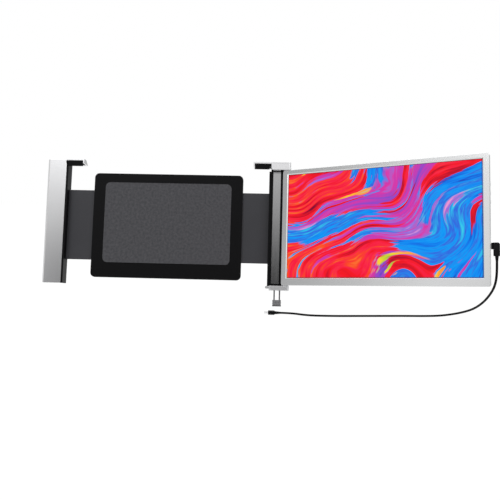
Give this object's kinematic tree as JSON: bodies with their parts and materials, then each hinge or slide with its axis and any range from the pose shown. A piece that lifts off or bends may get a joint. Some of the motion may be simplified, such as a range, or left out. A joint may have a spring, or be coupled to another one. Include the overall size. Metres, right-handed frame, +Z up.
{
  "type": "laptop screen extender",
  "caption": "Slide-out carrier that clips behind a laptop lid and holds a swinging side display, with a drop-down foot and a lead.",
  "frame": {"origin": "centre of the carrier's face that lies against the back of the laptop lid", "axes": "+Z up, +X to the viewer's right along the carrier, +Y away from the viewer; the carrier leans back 9.75 degrees about X with the lid"},
  "size_m": [0.7211, 0.2083, 0.27],
  "materials": {
    "silver_aluminium": "satin anodised",
    "screen_silver": "fine satin",
    "spine_metal": "brushed grey",
    "black_plastic": "matte moulded",
    "clip_rubber": "soft matte",
    "lining": "thin felt",
    "bearing_plastic": "smooth",
    "foot_plastic": "ribbed",
    "steel": "ground",
    "dark_steel": "black coated",
    "spring_steel": "rolled",
    "screw_steel": "machined",
    "connector_steel": "bright",
    "bush_brass": "turned",
    "display": "lit picture behind a matt film",
    "white_plastic": "moulded",
    "circuit_board": "lacquered",
    "cable_black": "smooth jacket",
    "plug_black": "moulded",
    "button_plastic": "moulded"
  },
  "bodies": {
    "carrier": {"lid_pad": "lining", "carrier_front_plate": "black_plastic", "carrier_rear_cover": "silver_aluminium", "slide_rails": "bearing_plastic", "friction_springs": "spring_steel", "stop_pins": "steel", "carrier_screws": "screw_steel"},
    "left_arm": {"left_slide_plate": "dark_steel", "left_side_shell": "silver_aluminium", "left_side_liner": "black_plastic", "left_clip_bar": "silver_aluminium", "left_clip_block": "clip_rubber", "left_arm_screws": "screw_steel", "left_clip_screws": "screw_steel"},
    "right_arm": {"right_slide_plate": "dark_steel", "spine_housing": "black_plastic", "spine_insert": "spine_metal", "right_side_liner": "black_plastic", "right_side_cover": "silver_aluminium", "right_top_bracket": "silver_aluminium", "right_clip_bar": "silver_aluminium", "right_clip_block": "clip_rubber", "right_bottom_bracket": "silver_aluminium", "pivot_pins": "steel", "leg_guide": "bearing_plastic", "right_arm_screws": "screw_steel", "side_cover_screws": "screw_steel", "bracket_screws": "screw_steel", "right_clip_screws": "screw_steel", "cable": "cable_black", "desk_plug_shell": "connector_steel", "desk_plug_body": "plug_black", "desk_plug_relief": "plug_black"},
    "screen": {"screen_front_bezel": "screen_silver", "screen_back_cover": "screen_silver", "lcd_panel": "display", "backlight_unit": "white_plastic", "control_board": "circuit_board", "usb_c_ports": "connector_steel", "mini_video_port": "connector_steel", "tact_switches": "black_plastic", "hinge_knuckles": "steel", "hinge_bushes": "bush_brass", "friction_washers": "spring_steel", "screen_screws": "screw_steel", "angle_plug_shell": "connector_steel", "angle_plug_body": "plug_black", "angle_plug_relief": "plug_black"},
    "leg": {"leg_rods": "steel", "leg_yoke": "steel", "foot_block": "foot_plastic", "foot_pad": "clip_rubber"},
    "power_button": {"power_button": "button_plastic"},
    "menu_up_button": {"menu_up_button": "button_plastic"},
    "menu_down_button": {"menu_down_button": "button_plastic"}
  },
  "joints": [
    {"name": "left_arm_slide", "type": "slide", "parent": "carrier", "child": "left_arm", "axis": [-1, 0, 0], "range_m": [-0.025, 0.02]},
    {"name": "right_arm_slide", "type": "slide", "parent": "carrier", "child": "right_arm", "axis": [1, 0, 0], "range_m": [-0.025, 0.02]},
    {"name": "screen_swivel", "type": "hinge", "parent": "right_arm", "child": "screen", "pos_m": [0.2049, -0.01656, 0.00284], "axis": [0, -0.1693, -0.9856], "range_deg": [-65.9, 154], "deforming": ["cable"]},
    {"name": "leg_slide", "type": "slide", "parent": "right_arm", "child": "leg", "axis": [0, -0.1693, -0.9856], "range_m": [-0.014, 0.0145]},
    {"name": "power_button_press", "type": "slide", "parent": "screen", "child": "power_button", "axis": [-0.8993, 0.4311, -0.0741], "range_m": [0, 0.0006], "stiffness_N_per_m": 800, "springref_m": -0.0004},
    {"name": "menu_up_button_press", "type": "slide", "parent": "screen", "child": "menu_up_button", "axis": [-0.8993, 0.4311, -0.0741], "range_m": [0, 0.0006], "stiffness_N_per_m": 800, "springref_m": -0.0004},
    {"name": "menu_down_button_press", "type": "slide", "parent": "screen", "child": "menu_down_button", "axis": [-0.8993, 0.4311, -0.0741], "range_m": [0, 0.0006], "stiffness_N_per_m": 800, "springref_m": -0.0004}
  ]
}
